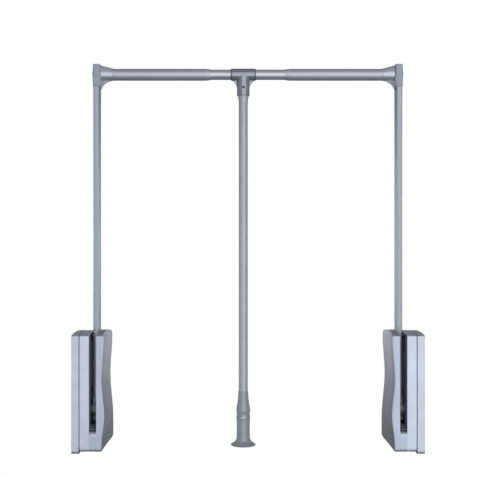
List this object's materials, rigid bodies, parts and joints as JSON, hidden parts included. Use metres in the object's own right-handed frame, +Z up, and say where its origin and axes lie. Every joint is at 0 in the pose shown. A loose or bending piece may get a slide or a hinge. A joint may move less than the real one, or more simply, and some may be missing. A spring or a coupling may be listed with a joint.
{
  "type": "pull down closet rod",
  "caption": "Wardrobe lift: wall housings with spring loaded swing arms carry a telescopic hanging bar that a long central pull rod with a flared grip brings down.",
  "frame": {"origin": "on the left closet wall's face, on the swing axis of the arms", "axes": "X from the left closet wall to the right one, +Y to the back of the closet, +Z up"},
  "size_m": [0.76, 0.14, 0.8489],
  "materials": {
    "plate_plastic": "silver grey moulded plastic, fine satin texture",
    "shell_plastic": "silver grey moulded plastic, fine satin texture",
    "cover_plastic": "silver grey moulded plastic, fine satin texture",
    "elbow_plastic": "grey moulded plastic, satin",
    "tee_plastic": "darker grey moulded plastic, satin",
    "grip_plastic": "grey soft touch plastic",
    "grip_cap_plastic": "light grey plastic",
    "bush_plastic": "grey acetal",
    "dark_plastic": "dark acetal",
    "nylon": "natural nylon",
    "rubber": "moulded rubber",
    "arm_metal": "silver grey satin coat",
    "bar_metal": "satin anodised",
    "inner_tube_metal": "bright satin anodised",
    "rod_metal": "satin anodised",
    "zinc_steel": "zinc plated",
    "spring_steel": "oil dark spring steel",
    "zinc_casting": "sintered steel",
    "damper_steel": "black painted steel",
    "chromed_rod": "hard chromed",
    "bronze": "sintered bronze"
  },
  "bodies": {
    "left_housing": {"left_wall_plate": "plate_plastic", "left_hanging_studs": "zinc_steel", "left_outer_shell": "shell_plastic", "left_inner_cover": "cover_plastic", "left_cover_screws": "zinc_steel", "left_slot_pad": "rubber", "left_rest_buffer": "rubber", "left_axle": "zinc_steel", "left_axle_clip": "spring_steel", "left_rack_guide": "nylon", "left_spring": "spring_steel", "left_spring_seat": "zinc_steel", "left_damper_cylinder": "damper_steel", "left_damper_gland": "nylon"},
    "left_frame": {"left_hub": "zinc_casting", "left_hub_bushes": "bronze", "left_arm": "arm_metal", "left_arm_pins": "zinc_steel", "left_elbow": "elbow_plastic", "left_elbow_screws": "zinc_steel", "left_elbow_cap": "elbow_plastic", "left_bar_tube": "bar_metal", "left_bar_bush": "bush_plastic"},
    "left_carriage": {"left_rack": "zinc_casting", "left_damper_rod": "chromed_rod"},
    "slide_bar": {"inner_tube": "inner_tube_metal", "inner_tube_plugs": "bush_plastic", "tee_rings": "dark_plastic"},
    "pull_rod": {"tee": "tee_plastic", "tee_screw": "zinc_steel", "rod_ferrule": "bush_plastic", "pull_tube": "rod_metal", "grip": "grip_plastic", "grip_screw_cap": "grip_plastic", "grip_end_cap": "grip_cap_plastic"},
    "right_housing": {"right_wall_plate": "plate_plastic", "right_hanging_studs": "zinc_steel", "right_outer_shell": "shell_plastic", "right_inner_cover": "cover_plastic", "right_cover_screws": "zinc_steel", "right_slot_pad": "rubber", "right_rest_buffer": "rubber", "right_axle": "zinc_steel", "right_axle_clip": "spring_steel", "right_rack_guide": "nylon", "right_spring": "spring_steel", "right_spring_seat": "zinc_steel", "right_damper_cylinder": "damper_steel", "right_damper_gland": "nylon"},
    "right_frame": {"right_hub": "zinc_casting", "right_hub_bushes": "bronze", "right_arm": "arm_metal", "right_arm_pins": "zinc_steel", "right_elbow": "elbow_plastic", "right_elbow_screws": "zinc_steel", "right_elbow_cap": "elbow_plastic", "right_bar_tube": "bar_metal", "right_bar_bush": "bush_plastic"},
    "right_carriage": {"right_rack": "zinc_casting", "right_damper_rod": "chromed_rod"}
  },
  "joints": [
    {"name": "arm_swing", "type": "hinge", "parent": "left_housing", "child": "left_frame", "pos_m": [0, 0, 0], "axis": [1, 0, 0], "range_deg": [0, 102], "stiffness_Nm_per_rad": 14, "springref_deg": -11.46},
    {"name": "width_adjust", "type": "slide", "parent": "left_housing", "child": "right_housing", "axis": [1, 0, 0], "range_m": [-0.08, 0.1]},
    {"name": "bar_centre_slide", "type": "slide", "parent": "left_frame", "child": "slide_bar", "axis": [1, 0, 0], "range_m": [-0.04, 0.05]},
    {"name": "right_arm_slide", "type": "slide", "parent": "left_frame", "child": "right_frame", "axis": [1, 0, 0], "range_m": [-0.08, 0.1]},
    {"name": "rod_swing", "type": "hinge", "parent": "slide_bar", "child": "pull_rod", "pos_m": [0.37, 0, 0.741], "axis": [1, 0, 0], "range_deg": [-120, 30]},
    {"name": "left_rack_slide", "type": "slide", "parent": "left_housing", "child": "left_carriage", "axis": [0, 0, 1], "range_m": [0, 0.0446], "deforming": ["left_spring"]},
    {"name": "right_rack_slide", "type": "slide", "parent": "right_housing", "child": "right_carriage", "axis": [0, 0, 1], "range_m": [0, 0.0446], "deforming": ["right_spring"]}
  ],
  "couplings": [
    {"joint": "bar_centre_slide", "follows": "width_adjust", "ratio": 0.5},
    {"joint": "right_arm_slide", "follows": "width_adjust", "ratio": 1},
    {"joint": "left_rack_slide", "follows": "arm_swing", "m_per_rad": 0.025},
    {"joint": "right_rack_slide", "follows": "arm_swing", "m_per_rad": 0.025}
  ]
}
